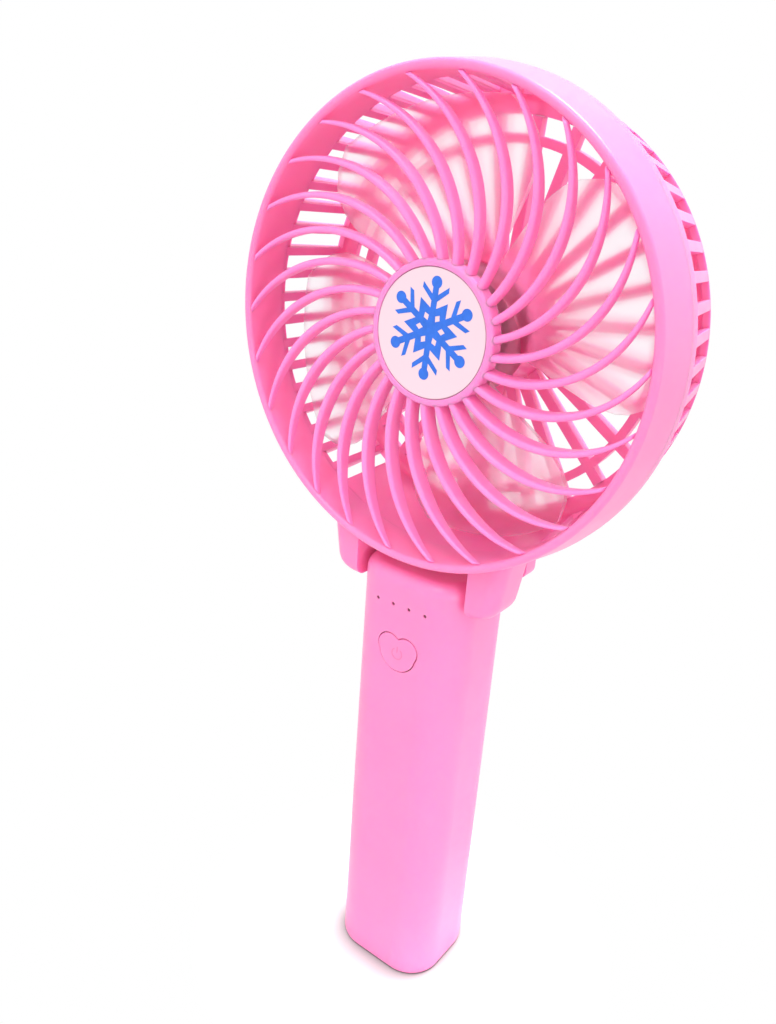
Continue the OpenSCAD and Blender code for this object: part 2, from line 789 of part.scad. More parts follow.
// Battery cell standing in its cradles
module battery_cell() {
    color([0.15, 0.4, 0.65]) translate([0, 0, cell_foot]) {
        cylinder(d = cell_d, h = cell_l);
        translate([0, 0, cell_l - 0.5]) cylinder(d = nub_d, h = nub_t + 0.5);
    }
}

// Contact plate under the shelf
module contact_top() {
    color(brass) translate([-contact_w / 2, -contact_d / 2, shelf_z - contact_t - seat_gap])
        cube([contact_w, contact_d, contact_t]);
}

// Contact cone on the floor of the bay
module contact_bottom() {
    color(steel) translate([0, 0, floor_t + seat_gap]) {
        cylinder(r = 7, h = contact_t);
        cylinder(r1 = 5.5, r2 = 3.5, h = cell_foot - floor_t - 2 * seat_gap);
    }
}

// Control board on its two posts
module circuit_board() {
    color(green) difference() {
        translate([-board_w / 2, board_y, board_foot]) cube([board_w, board_t, board_top - board_foot]);
        both_sides() translate([post_x, 0, post_z]) bar_y(screw_r + 0.1, board_y - 1, board_y + board_t + 1);
    }
}

// Screws that hold the board to the posts
module board_screws() {
    color(steel) both_sides() translate([post_x, 0, post_z])
        pan_screw(board_y + board_t + seat_gap, wall_y + 0.5, screw_r - 0.05, head_screw_r, head_screw_t);
}

// Push switch behind the button
module tact_switch() {
    color(black) {
        translate([-3, switch_front + 0.9, button_z - 3]) cube([6, switch_t - 0.9 - seat_gap, 6]);
        translate([0, 0, button_z]) bar_y(1.6, switch_front, board_y - 0.5);
    }
}

// Charge lights on the board
module status_leds() {
    color([0.95, 0.95, 0.9]) each_led() translate([-0.8, board_y - 0.8, -0.6])
        cube([1.6, 0.8 - seat_gap, 1.2]);
}

// Light pipes from the charge lights to the front of the handle, on one bar
module light_pipes() {
    reach = (led_count - 1) / 2 * led_pitch + pipe_r + 0.4;
    color([0.6, 0.2, 0.35]) {
        each_led() bar_y(pipe_r, front_y + 0.25, pipe_back);
        translate([-reach, wall_y + 0.4, led_z - pipe_r - 0.3]) cube([2 * reach, 1, 2 * pipe_r + 0.6]);
    }
}

// Charging socket on the back of the board, its mouth on the -X side
module usb_socket() {
    mouth = -handle_w / 2 + 0.6;
    color(steel) difference() {
        translate([mouth, usb_y, usb_z - usb_w / 2]) cube([usb_l, usb_h, usb_w]);
        translate([mouth - 1, usb_y + 0.35, usb_z - usb_w / 2 + 0.35])
            cube([usb_l - 0.4, usb_h - 0.7, usb_w - 0.7]);
    }
}

// Power button with the flange that keeps it in the handle
module power_button() {
    color(pink) translate([0, 0, button_z]) {
        from_front(button_face, flange_y + flange_t) button_plan(0);
        from_front(flange_y, flange_y + flange_t) button_plan(flange_w);
    }
}

front_shell();
front_grille();
hub_badge();
rear_ring();
rear_grille();
cage_screws();
impeller();
motor_shaft();
motor_rotor();
motor_can();
motor_bush();
motor_end_bell();
motor_screws();
hinge_pin_left();
hinge_pin_right();
hinge_bush_left();
hinge_bush_right();
handle_body();
rear_cover();
cover_screws();
battery_cell();
contact_top();
contact_bottom();
circuit_board();
board_screws();
tact_switch();
status_leds();
light_pipes();
usb_socket();
power_button();
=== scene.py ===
"""Looks of the handheld fan: moulded pink plastic, frosted blades, printed badge, pale studio."""

import json
import math

import bmesh
import bpy
from mathutils import Euler, Matrix, Vector


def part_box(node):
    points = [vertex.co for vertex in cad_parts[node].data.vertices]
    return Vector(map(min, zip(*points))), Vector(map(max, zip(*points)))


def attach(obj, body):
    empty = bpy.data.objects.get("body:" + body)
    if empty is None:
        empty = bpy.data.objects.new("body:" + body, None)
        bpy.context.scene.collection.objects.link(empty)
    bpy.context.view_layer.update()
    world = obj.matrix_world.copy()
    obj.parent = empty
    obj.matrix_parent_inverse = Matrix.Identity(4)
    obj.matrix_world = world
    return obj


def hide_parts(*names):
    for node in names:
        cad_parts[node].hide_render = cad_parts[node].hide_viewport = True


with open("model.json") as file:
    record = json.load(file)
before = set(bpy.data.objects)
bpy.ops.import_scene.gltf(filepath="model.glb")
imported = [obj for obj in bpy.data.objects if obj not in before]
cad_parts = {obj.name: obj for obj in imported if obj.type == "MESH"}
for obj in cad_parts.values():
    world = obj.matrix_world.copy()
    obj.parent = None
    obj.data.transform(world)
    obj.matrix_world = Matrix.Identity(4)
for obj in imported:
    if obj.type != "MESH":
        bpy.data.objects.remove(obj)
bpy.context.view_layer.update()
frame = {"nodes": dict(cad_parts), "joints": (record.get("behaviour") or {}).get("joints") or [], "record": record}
nodes = frame["nodes"]
scene = bpy.context.scene

MM = 0.001
joints = {joint["name"]: joint for joint in frame["joints"]}
HEAD_Z = joints["rotor_spin"]["pos_m"][2]  # height of the fan's axis
HUB_R, HUB_FADE = 0.0146, 0.004  # radius of the rotor's hub, and the width over which its tint fades
SHADOW_FULL, SHADOW_GONE = 0.02, 0.06  # distances on the floor between which the shadow fades
WELD = 0.000002  # points closer than this are joined
SHARP = 0.6  # angle in radians from which an edge is shaded sharp


# Material building


def new_material(name):
    """An empty node material: itself, its link function, a function that adds nodes, its output."""
    mat = bpy.data.materials.new(name)
    mat.use_nodes = True
    tree = mat.node_tree
    tree.nodes.clear()
    out = tree.nodes.new("ShaderNodeOutputMaterial")

    def add(kind, **settings):
        node = tree.nodes.new("ShaderNode" + kind)
        for key, value in settings.items():
            if key.startswith("in_"):
                node.inputs[key[3:].replace("_", " ")].default_value = value
            else:
                setattr(node, key, value)
        return node

    return mat, tree.links.new, add, out


def ramp(add, stops):
    """A colour ramp with these stops of position and grey value or colour."""
    node = add("ValToRGB")
    band = node.color_ramp
    while len(band.elements) < len(stops):
        band.elements.new(0.5)
    for element, (at, value) in zip(band.elements, stops):
        element.position = at
        element.color = (value, value, value, 1) if isinstance(value, float) else (*value, 1)
    return node


def plastic(name, low, high, rough, soft=0.0, grain=0.02, edge=0.0004, coat=0.15):
    """Moulded plastic: mottled colour, uneven gloss, fine grain, and edges eased by this radius."""
    mat, link, add, out = new_material(name)
    place = add("TexCoord")
    cloud = add("TexNoise", in_Scale=38.0, in_Detail=4.0, in_Roughness=0.55)
    link(place.outputs["Object"], cloud.inputs["Vector"])
    tint = ramp(add, [(0.3, low), (0.7, high)])
    link(cloud.outputs["Fac"], tint.inputs["Fac"])
    wear = add("TexNoise", in_Scale=160.0, in_Detail=5.0, in_Roughness=0.6)
    link(place.outputs["Object"], wear.inputs["Vector"])
    gloss = ramp(add, [(0.25, rough - 0.06), (0.75, rough + 0.06)])
    link(wear.outputs["Fac"], gloss.inputs["Fac"])
    fine = add("TexNoise", in_Scale=2600.0, in_Detail=2.0)
    link(place.outputs["Object"], fine.inputs["Vector"])
    bump = add("Bump", in_Strength=grain, in_Distance=0.0002)
    link(fine.outputs["Fac"], bump.inputs["Height"])
    if edge:
        bevel = add("Bevel", samples=4, in_Radius=edge)
        link(bevel.outputs["Normal"], bump.inputs["Normal"])
    shader = add("BsdfPrincipled", in_IOR=1.46, in_Coat_Weight=coat, in_Coat_Roughness=0.25)
    link(tint.outputs["Color"], shader.inputs["Base Color"])
    link(gloss.outputs["Color"], shader.inputs["Roughness"])
    link(bump.outputs["Normal"], shader.inputs["Normal"])
    if soft:
        shader.inputs["Subsurface Weight"].default_value = soft
        shader.inputs["Subsurface Radius"].default_value = (1.0, 0.35, 0.75)
        shader.inputs["Subsurface Scale"].default_value = 0.002
    link(shader.outputs["BSDF"], out.inputs["Surface"])
    return mat


def frosted(name):
    """Thin frosted plastic: part clear, part blurred, with a deeper tint in the hub's thick wall."""
    mat, link, add, out = new_material(name)
    place = add("TexCoord")
    from_axis = add("VectorMath", operation="SUBTRACT")
    from_axis.inputs[1].default_value = (0, 0, HEAD_Z)
    link(place.outputs["Object"], from_axis.inputs[0])
    flat = add("VectorMath", operation="MULTIPLY")
    flat.inputs[1].default_value = (1, 0, 1)
    link(from_axis.outputs["Vector"], flat.inputs[0])
    radius = add("VectorMath", operation="LENGTH")
    link(flat.outputs["Vector"], radius.inputs[0])
    beyond_hub = add("MapRange", in_From_Min=HUB_R, in_From_Max=HUB_R + HUB_FADE)
    link(radius.outputs["Value"], beyond_hub.inputs["Value"])
    cloud = add("TexNoise", in_Scale=60.0, in_Detail=3.0)
    link(place.outputs["Object"], cloud.inputs["Vector"])
    mottle = add("Math", operation="MULTIPLY_ADD")
    mottle.inputs[1].default_value = 0.2
    link(cloud.outputs["Fac"], mottle.inputs[0])
    link(beyond_hub.outputs["Result"], mottle.inputs[2])
    hub, blade, blade_pale = (0.95, 0.42, 0.6), (1.0, 0.86, 0.95), (1.0, 0.9, 0.97)
    tint = ramp(add, [(0.05, hub), (0.95, blade), (1.0, blade_pale)])
    link(mottle.outputs["Value"], tint.inputs["Fac"])
    film = ramp(add, [(0.0, 0.9), (1.0, 0.55)])
    link(beyond_hub.outputs["Result"], film.inputs["Fac"])
    haze = ramp(add, [(0.3, 0.3), (0.7, 0.38)])
    link(cloud.outputs["Fac"], haze.inputs["Fac"])
    fine = add("TexNoise", in_Scale=1800.0, in_Detail=2.0)
    link(place.outputs["Object"], fine.inputs["Vector"])
    bump = add("Bump", in_Strength=0.05, in_Distance=0.0002)
    link(fine.outputs["Fac"], bump.inputs["Height"])
    shader = add("BsdfPrincipled", in_IOR=1.22, in_Transmission_Weight=0.94)
    link(tint.outputs["Color"], shader.inputs["Base Color"])
    link(film.outputs["Color"], shader.inputs["Alpha"])
    link(haze.outputs["Color"], shader.inputs["Roughness"])
    link(bump.outputs["Normal"], shader.inputs["Normal"])
    link(shader.outputs["BSDF"], out.inputs["Surface"])
    return mat


def metal(name, colour, rough):
    """Plated metal with fine uneven polish."""
    mat, link, add, out = new_material(name)
    place = add("TexCoord")
    streak = add("TexNoise", in_Scale=900.0, in_Detail=4.0)
    link(place.outputs["Object"], streak.inputs["Vector"])
    gloss = ramp(add, [(0.3, rough - 0.08), (0.7, rough + 0.1)])
    link(streak.outputs["Fac"], gloss.inputs["Fac"])
    dull = ramp(add, [(0.2, tuple(c * 0.86 for c in colour)), (0.8, colour)])
    link(streak.outputs["Fac"], dull.inputs["Fac"])
    shader = add("BsdfPrincipled", in_Metallic=1.0)
    link(dull.outputs["Color"], shader.inputs["Base Color"])
    link(gloss.outputs["Color"], shader.inputs["Roughness"])
    link(shader.outputs["BSDF"], out.inputs["Surface"])
    return mat


def ink(name, low, high):
    """Printed ink with a slightly uneven film."""
    mat, link, add, out = new_material(name)
    place = add("TexCoord")
    film = add("TexNoise", in_Scale=420.0, in_Detail=5.0, in_Roughness=0.7)
    link(place.outputs["Object"], film.inputs["Vector"])
    tint = ramp(add, [(0.35, low), (0.65, high)])
    link(film.outputs["Fac"], tint.inputs["Fac"])
    shader = add("BsdfPrincipled", in_Roughness=0.42)
    link(tint.outputs["Color"], shader.inputs["Base Color"])
    link(shader.outputs["BSDF"], out.inputs["Surface"])
    return mat


def sheet(name):
    """White floor: it takes the shadow close round the handle, is darkened right at the base by a painted contact
    shade, and is plain white further out.
    """
    mat, link, add, out = new_material(name)
    place = add("TexCoord")
    cloud = add("TexNoise", in_Scale=3.0, in_Detail=2.0)
    link(place.outputs["Object"], cloud.inputs["Vector"])
    tint = ramp(add, [(0.3, 0.94), (0.7, 0.96)])
    link(cloud.outputs["Fac"], tint.inputs["Fac"])
    # painted contact shade: an occlusion node darkens the floor's colour within 6 mm of the fan, where shade falls
    # under it
    painted_contact_shade = add("AmbientOcclusion", samples=8, in_Distance=0.006)
    link(tint.outputs["Color"], painted_contact_shade.inputs["Color"])
    paper = add("BsdfDiffuse")
    link(painted_contact_shade.outputs["Color"], paper.inputs["Color"])
    glow = add("Emission", in_Color=(1, 1, 1, 1), in_Strength=1.0)
    distance = add("VectorMath", operation="LENGTH")
    link(place.outputs["Object"], distance.inputs[0])
    fade = add("MapRange", in_From_Min=SHADOW_FULL, in_From_Max=SHADOW_GONE)
    link(distance.outputs["Value"], fade.inputs["Value"])
    blend = add("MixShader")
    link(fade.outputs["Result"], blend.inputs["Fac"])
    link(paper.outputs["BSDF"], blend.inputs[1])
    link(glow.outputs["Emission"], blend.inputs[2])
    link(blend.outputs["Shader"], out.inputs["Surface"])
    return mat


PINK_LOW, PINK_HIGH = (0.965, 0.225, 0.482), (0.98, 0.243, 0.506)
# The vanes and the dish get a bluer, lighter copy of the shell's pink: painted light, standing in for the magenta
# shade on the vanes' sides and the lilac highlight on their noses.
VANE_SHADE_LOW, VANE_SHADE_HIGH = (0.965, 0.245, 0.555), (0.98, 0.265, 0.58)
MOULDED = {"rough": 0.36, "soft": 0.6}
PINK = plastic("pink_plastic", PINK_LOW, PINK_HIGH, **MOULDED)
PINK_ROUND = plastic("pink_rounded", PINK_LOW, PINK_HIGH, **MOULDED, edge=0)
PINK_VANE_PAINTED_LIGHT = plastic("pink_vanes_painted_light", VANE_SHADE_LOW, VANE_SHADE_HIGH, **MOULDED, edge=0)
BADGE = plastic("badge_film", (0.8, 0.56, 0.63), (0.83, 0.59, 0.66), 0.4)
BLADE = frosted("frosted_blade")
STEEL = metal("plated_steel", (0.62, 0.62, 0.64), 0.32)
COPPER = metal("copper_alloy", (0.72, 0.45, 0.24), 0.35)
BLACK = plastic("black_plastic", (0.012, 0.012, 0.013), (0.02, 0.02, 0.022), 0.45)
NYLON = plastic("nylon", (0.74, 0.71, 0.66), (0.8, 0.77, 0.72), 0.5)
SLEEVE = plastic("cell_sleeve", (0.02, 0.11, 0.28), (0.03, 0.14, 0.33), 0.3)
BOARD = plastic("solder_mask", (0.006, 0.06, 0.025), (0.01, 0.08, 0.035), 0.35)
PIPE = plastic("light_pipe", (0.2, 0.035, 0.07), (0.28, 0.05, 0.1), 0.25)
LED = plastic("led_lens", (0.8, 0.77, 0.6), (0.88, 0.85, 0.7), 0.2)
BLUE = ink("snow_ink", (0.012, 0.125, 0.6), (0.02, 0.155, 0.72))
MARK = ink("mark_ink", (0.86, 0.17, 0.38), (0.9, 0.19, 0.41))

BY_SLOT = {
    "pink_shell": PINK,
    "badge": BADGE,
    "frosted_blade": BLADE,
    "steel": STEEL,
    "copper": COPPER,
    "black_plastic": BLACK,
    "nylon": NYLON,
    "cell_sleeve": SLEEVE,
    "board": BOARD,
    "led": LED,
    "light_pipe": PIPE,
}
for part in frame["record"]["subparts"]:
    mesh = nodes[part["node"]].data
    mesh.materials.clear()
    mesh.materials.append(BY_SLOT[part["material_slot"]])


# Geometry that repeats round the fan's axis


def repeat_tree(material):
    """A node tree that copies the mesh it gets round an axis along Y."""
    tree = bpy.data.node_groups.new("Repeat round", "GeometryNodeTree")
    face = tree.interface
    face.new_socket("Geometry", in_out="INPUT", socket_type="NodeSocketGeometry")
    count = face.new_socket("Count", in_out="INPUT", socket_type="NodeSocketInt")
    count.default_value = 6
    height = face.new_socket("Axis height", in_out="INPUT", socket_type="NodeSocketFloat")
    height.default_value = HEAD_Z
    first = face.new_socket("First turn", in_out="INPUT", socket_type="NodeSocketFloat")
    first.default_value = 0.0
    face.new_socket("Geometry", in_out="OUTPUT", socket_type="NodeSocketGeometry")
    add = tree.nodes.new
    link = tree.links.new
    source = add("NodeGroupInput")
    sink = add("NodeGroupOutput")
    points = add("GeometryNodeMeshLine")
    points.inputs["Offset"].default_value = (0, 0, 0)
    link(source.outputs["Count"], points.inputs["Count"])
    centre = add("ShaderNodeCombineXYZ")
    link(source.outputs["Axis height"], centre.inputs["Z"])
    link(centre.outputs["Vector"], points.inputs["Start Location"])
    index = add("GeometryNodeInputIndex")
    step = add("ShaderNodeMath")
    step.operation = "DIVIDE"
    step.inputs[0].default_value = 2 * math.pi
    link(source.outputs["Count"], step.inputs[1])
    turn = add("ShaderNodeMath")
    turn.operation = "MULTIPLY_ADD"
    link(index.outputs["Index"], turn.inputs[0])
    link(step.outputs["Value"], turn.inputs[1])
    link(source.outputs["First turn"], turn.inputs[2])
    spin = add("ShaderNodeCombineXYZ")
    link(turn.outputs["Value"], spin.inputs["Y"])
    copies = add("GeometryNodeInstanceOnPoints")
    link(points.outputs["Mesh"], copies.inputs["Points"])
    link(source.outputs["Geometry"], copies.inputs["Instance"])
    link(spin.outputs["Vector"], copies.inputs["Rotation"])
    real = add("GeometryNodeRealizeInstances")
    weld = add("GeometryNodeMergeByDistance")
    weld.inputs["Distance"].default_value = WELD
    link(copies.outputs["Instances"], real.inputs["Geometry"])
    link(real.outputs["Geometry"], weld.inputs["Geometry"])
    paint = add("GeometryNodeSetMaterial")
    paint.inputs["Material"].default_value = material
    link(weld.outputs["Geometry"], paint.inputs["Geometry"])
    link(paint.outputs["Geometry"], sink.inputs["Geometry"])
    return tree


def mesh_object(name, bm, material=None):
    """A new object in the scene from a bmesh, which is used up."""
    mesh = bpy.data.meshes.new(name)
    bmesh.ops.recalc_face_normals(bm, faces=bm.faces)
    bm.to_mesh(mesh)
    bm.free()
    if material:
        mesh.materials.append(material)
    made = bpy.data.objects.new(name, mesh)
    scene.collection.objects.link(made)
    return made


def repeat_round(obj, material, count, height, turn):
    """Runs the repeating tree on obj and keeps the result as a plain mesh."""
    tree = repeat_tree(material)
    modifier = obj.modifiers.new("Repeat round", "NODES")
    modifier.node_group = tree
    values = {s.name: s.identifier for s in tree.interface.items_tree if s.in_out == "INPUT"}
    modifier[values["Count"]] = count
    modifier[values["Axis height"]] = height
    modifier[values["First turn"]] = turn
    graph = bpy.context.evaluated_depsgraph_get()
    kept = bpy.data.meshes.new_from_object(obj.evaluated_get(graph))
    obj.modifiers.clear()
    obj.data = kept


# Rounded, turned and lofted shapes


def corner(centre, radius, start, end, count):
    """Points of a rounding, angles in degrees."""
    turns = [math.radians(start + (end - start) * i / count) for i in range(count + 1)]
    return [(centre[0] + radius * math.cos(t), centre[1] + radius * math.sin(t)) for t in turns]


def lathe(bm, profile, start=0, end=360, steps=256):
    """Turns a closed profile of (radius, y) points in mm about the fan's axis."""
    whole = end - start == 360
    rings = []
    for i in range(steps if whole else steps + 1):
        t = math.radians(start + (end - start) * i / steps)
        spoke = Vector((math.cos(t), 0, math.sin(t)))
        ring = [spoke * r * MM + Vector((0, y * MM, HEAD_Z)) for r, y in profile]
        rings.append([bm.verts.new(p) for p in ring])
    pairs = list(zip(rings, rings[1:])) + ([(rings[-1], rings[0])] if whole else [])
    for a, b in pairs:
        for i in range(len(profile)):
            j = (i + 1) % len(profile)
            bm.faces.new((a[i], a[j], b[j], b[i]))
    if not whole:
        bm.faces.new(rings[0])
        bm.faces.new(list(reversed(rings[-1])))


def loft(bm, sections):
    """Closed skin through outlines in metres that have the same number of points."""
    rows = [[bm.verts.new(p) for p in outline] for outline in sections]
    for a, b in zip(rows, rows[1:]):
        for i in range(len(a)):
            j = (i + 1) % len(a)
            bm.faces.new((a[i], a[j], b[j], b[i]))
    bm.faces.new(rows[0])
    bm.faces.new(list(reversed(rows[-1])))


def shade(bm):
    """Smooth faces with sharp edges where they meet at a clear angle."""
    bmesh.ops.recalc_face_normals(bm, faces=bm.faces)
    for face in bm.faces:
        face.smooth = True
    for edge in bm.edges:
        edge.smooth = edge.calc_face_angle(0) < SHARP


# Shapes for prints, drawn from the front: x to the right, z up, raised towards -Y


def slab(bm, outline, y_front, thick, open_edges=()):
    """A flat plate with this outline of (x, z) points in metres; no wall on open_edges."""
    front = [bm.verts.new((x, y_front, z)) for x, z in outline]
    back = [bm.verts.new((x, y_front + thick, z)) for x, z in outline]
    bm.faces.new(front)
    bm.faces.new(list(reversed(back)))
    for i in range(len(outline)):
        j = (i + 1) % len(outline)
        if i not in open_edges:
            bm.faces.new((front[j], front[i], back[i], back[j]))


def bar(a, b, width):
    """Outline in metres of a straight bar from a to b, given in mm."""
    a, b = Vector(a), Vector(b)
    along = (b - a).normalized()
    side = Vector((-along.y, along.x)) * width / 2
    return [tuple(p * MM) for p in (a - side, b - side, b + side, a + side)]


def arc_band(centre, radius, width, start, end, count=28):
    """Outline in metres of part of a ring, given in mm and degrees."""
    outer = corner(centre, radius + width / 2, start, end, count)
    inner = corner(centre, radius - width / 2, end, start, count)
    return [(x * MM, z * MM) for x, z in outer + inner]


# Front grille, in mm: swirled vanes with round noses and fine tips, on the dish that holds the badge
VANES, VANE_T, VANE_DEPTH = 26, 1.6, 4.0
VANE_BACK = 1.0  # how far the vanes' fronts lie behind the lip's
VANE_TIP, VANE_SOFT = 0.7, 0.4  # roundings at a vane's tip and at its inner side's back edge
SHOULDER, SHOULDER_R = 2.4, 0.6  # depth and rounding of a vane's outer side, which slants in behind it
FINE_FROM = 31.0  # radius from which a vane gets finer and rises towards the lip
TIP_THIN, TIP_FLAT, TIP_RISE = 0.5, 0.6, 0.8  # shares of thickness and depth lost at a tip, and its rise
VANE_LEAN, VANE_PHASE = math.radians(4.6), math.radians(0.6)
ARC_R, ARC_OFFSET = 30.3, 31.4  # a vane's arc, and how far its middle is from the fan's axis
VANE_STEPS, TIP_STEPS = 40, 18
GRILLE_R = 49.95
DISH_R, DISH_T, DISH_SOFT, DISH_EDGE = 15.5, 3.6, 0.8, 0.3
DISH_HOLE = 0.01  # pin hole at the axis, so that the turned dish has no pole
BADGE_SUNK, BADGE_SEAT, BADGE_GAP = 0.2, 1.0, 0.15
SINK = 0.4  # how far the vanes' ends run into the band and the dish
badge_low, badge_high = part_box("hub_badge")
vane_front = -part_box("front_shell")[0].y / MM - VANE_BACK
vane_turn = math.acos((GRILLE_R**2 + ARC_OFFSET**2 - ARC_R**2) / (2 * GRILLE_R * ARC_OFFSET))


def arc_angle(radius):
    """Where the vane's arc reaches this distance from the fan's axis."""
    return math.acos((ARC_R**2 + ARC_OFFSET**2 - radius**2) / (2 * ARC_R * ARC_OFFSET))


def vane_point(radius, across, rise):
    """A point of a vane in metres, from mm along its arc, across its thickness and to the front."""
    turn = vane_turn + math.pi + arc_angle(radius)
    outer = max(0, (radius - FINE_FROM) / (GRILLE_R - FINE_FROM)) ** 2
    across *= 1 - TIP_THIN * outer
    rise += TIP_RISE * outer + TIP_FLAT * outer * (vane_front - rise)
    x = ARC_OFFSET * math.cos(vane_turn) + (ARC_R + across) * math.cos(turn)
    z = ARC_OFFSET * math.sin(vane_turn) + (ARC_R + across) * math.sin(turn)
    out = rise - GRILLE_R * math.tan(VANE_LEAN)
    x, out = (
        x * math.cos(VANE_LEAN) - out * math.sin(VANE_LEAN),
        x * math.sin(VANE_LEAN) + out * math.cos(VANE_LEAN),
    )
    past = min(max(math.hypot(x, z) - GRILLE_R + VANE_TIP, 0), VANE_TIP)
    out = min(out, vane_front + TIP_RISE - VANE_TIP + math.sqrt(VANE_TIP**2 - past**2))
    return Vector((x, -out, z)) * MM


half_t = VANE_T / 2
vane_foot = vane_front - VANE_DEPTH + VANE_SOFT
section = corner((0, vane_front - half_t), half_t, 0, 180, 10)
section += corner((VANE_SOFT - half_t, vane_foot), VANE_SOFT, 180, 270, 4)
section += corner((half_t - SHOULDER_R, vane_front - SHOULDER), SHOULDER_R, 315, 360, 4)
vane_start, tip_start = DISH_R - SINK, GRILLE_R - VANE_TIP
lean_loss = vane_front * math.sin(VANE_LEAN)  # the lean draws the tips in, so the arcs run on by as much
tip_run = VANE_TIP + lean_loss + SINK
radii = [vane_start + (tip_start - vane_start) * i / VANE_STEPS for i in range(VANE_STEPS)]
radii += [tip_start + tip_run * i / TIP_STEPS for i in range(TIP_STEPS + 1)]
vane = bmesh.new()
loft(vane, [[vane_point(r, *p) for p in section] for r in radii])
shade(vane)
grille = mesh_object("swirl_grille", vane)
repeat_round(grille, PINK_VANE_PAINTED_LIGHT, VANES, HEAD_Z, -VANE_PHASE)

dish_front = -badge_low.y / MM + BADGE_SUNK
dish_back = dish_front - DISH_T
badge_seat = dish_front - BADGE_SEAT
badge_r = badge_high.x / MM + BADGE_GAP
rim = [(DISH_HOLE, dish_back), (DISH_R - DISH_EDGE, dish_back), (DISH_R, dish_back + DISH_EDGE)]
rim += corner((DISH_R - DISH_SOFT, dish_front - DISH_SOFT), DISH_SOFT, 0, 90, 8)
rim += [(badge_r + BADGE_GAP, dish_front), (badge_r, dish_front - BADGE_GAP)]
rim += [(badge_r, badge_seat), (DISH_HOLE, badge_seat)]
joined = bmesh.new()
joined.from_mesh(grille.data)
lathe(joined, [(r, -out) for r, out in rim])
shade(joined)
for face in joined.faces:
    face.material_index = 0
joined.to_mesh(grille.data)
joined.free()
grille.data.materials.clear()
grille.data.materials.append(PINK_VANE_PAINTED_LIGHT)
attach(grille, "head")
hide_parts("front_grille")

# Front shell, in mm: the band with its round lip, wider towards the parting line, and the fork's lugs
FLARE, BAND_R, CAGE_R = 1.2, 52.0, 50.0
PART_Y, LIP_Y, LIP_R = -4.4, -14.4, 1.0
LUG_IN, LUG_FRONT, LUG_BACK, LUG_FOOT, LUG_TOP = 15.7, -11.7, 1.0, 113.0, 133.0
LUG_ROUND, LUG_EDGE, LUG_TOE, LUG_HEEL, LUG_LEAN = 6.0, 3.4, 3.2, 1.2, math.radians(9)
EDGE_OF_WIDTH, EDGE_OF_DEPTH = 0.9, 0.45  # most that a lug's edge rounding takes of its width and depth
TURN_X, TURN_Z = 17.4, 119.0  # middle of the rounding at the foot of a lug, seen from the front
TURN_STEPS, LUG_STEPS = 16, 20
BOSS_X, BOSS_Z, BOSS_R = 19.3, 122.0, 2.3
BOSS_START, BOSS_END, BOSS_SOFT, BOSS_SIDES = -3.0, 4.0, 0.4, 24


def rounded_in(height, radius):
    """How far a rounding of this radius keeps an edge back at this height above its end."""
    return radius - math.sqrt(max(radius**2 - max(radius - height, 0) ** 2, 0))


def lug_section(height, side):
    """Outline of a lug at one height, cut off inside the band's wall, in metres."""
    above = height - TURN_Z
    if above > -LUG_ROUND * math.sin(LUG_LEAN):
        outside = TURN_X + LUG_ROUND / math.cos(LUG_LEAN) + above * math.tan(LUG_LEAN)
    else:
        outside = TURN_X + math.sqrt(max(LUG_ROUND**2 - above**2, 0))
    front = LUG_FRONT + rounded_in(height - LUG_FOOT, LUG_TOE)
    rear = LUG_BACK - rounded_in(height - LUG_FOOT, LUG_HEEL)
    edge = min(LUG_EDGE, EDGE_OF_WIDTH * (outside - LUG_IN), EDGE_OF_DEPTH * (rear - front))
    outline = [(LUG_IN, front)] + corner((outside - edge, front + edge), edge, -90, 0, 10)
    outline += corner((outside - edge, rear - edge), edge, 0, 90, 10) + [(LUG_IN, rear)]
    wall = BAND_R - LIP_R
    roof = [HEAD_Z / MM - math.sqrt(wall**2 - x**2) for x, _ in outline]
    return [Vector((side * x, y, min(height, top))) * MM for (x, y), top in zip(outline, roof)]


def boss_section(y, radius, side):
    """Outline of a screw boss at one depth, in metres."""
    circle = corner((side * BOSS_X, BOSS_Z), radius, 0, 360 - 360 / BOSS_SIDES, BOSS_SIDES - 1)
    return [Vector((x, y, z)) * MM for x, z in circle]


wide = BAND_R + FLARE
hull = bmesh.new()
lip = corner((BAND_R - LIP_R, LIP_Y), LIP_R, 180, 360, 20)
lathe(hull, [(BAND_R - 2 * LIP_R, PART_Y)] + lip + [(wide, PART_Y)])
turns = [math.radians(90 * i / TURN_STEPS) for i in range(TURN_STEPS + 1)]
levels = [LUG_FOOT + LUG_ROUND * (1 - math.cos(t)) for t in turns]
levels += [TURN_Z + (LUG_TOP - TURN_Z) * i / LUG_STEPS for i in range(1, LUG_STEPS + 1)]
boss_ends = [
    (BOSS_START, BOSS_R),
    (BOSS_END - BOSS_SOFT, BOSS_R),
    (BOSS_END - BOSS_SOFT / 4, BOSS_R - BOSS_SOFT / 4),
    (BOSS_END, BOSS_R - BOSS_SOFT),
]
for side in (-1, 1):
    loft(hull, [lug_section(height, side) for height in levels])
    loft(hull, [boss_section(y, radius, side) for y, radius in boss_ends])
shade(hull)
shell = mesh_object("front_band", hull, PINK)
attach(shell, "head")
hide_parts("front_shell")

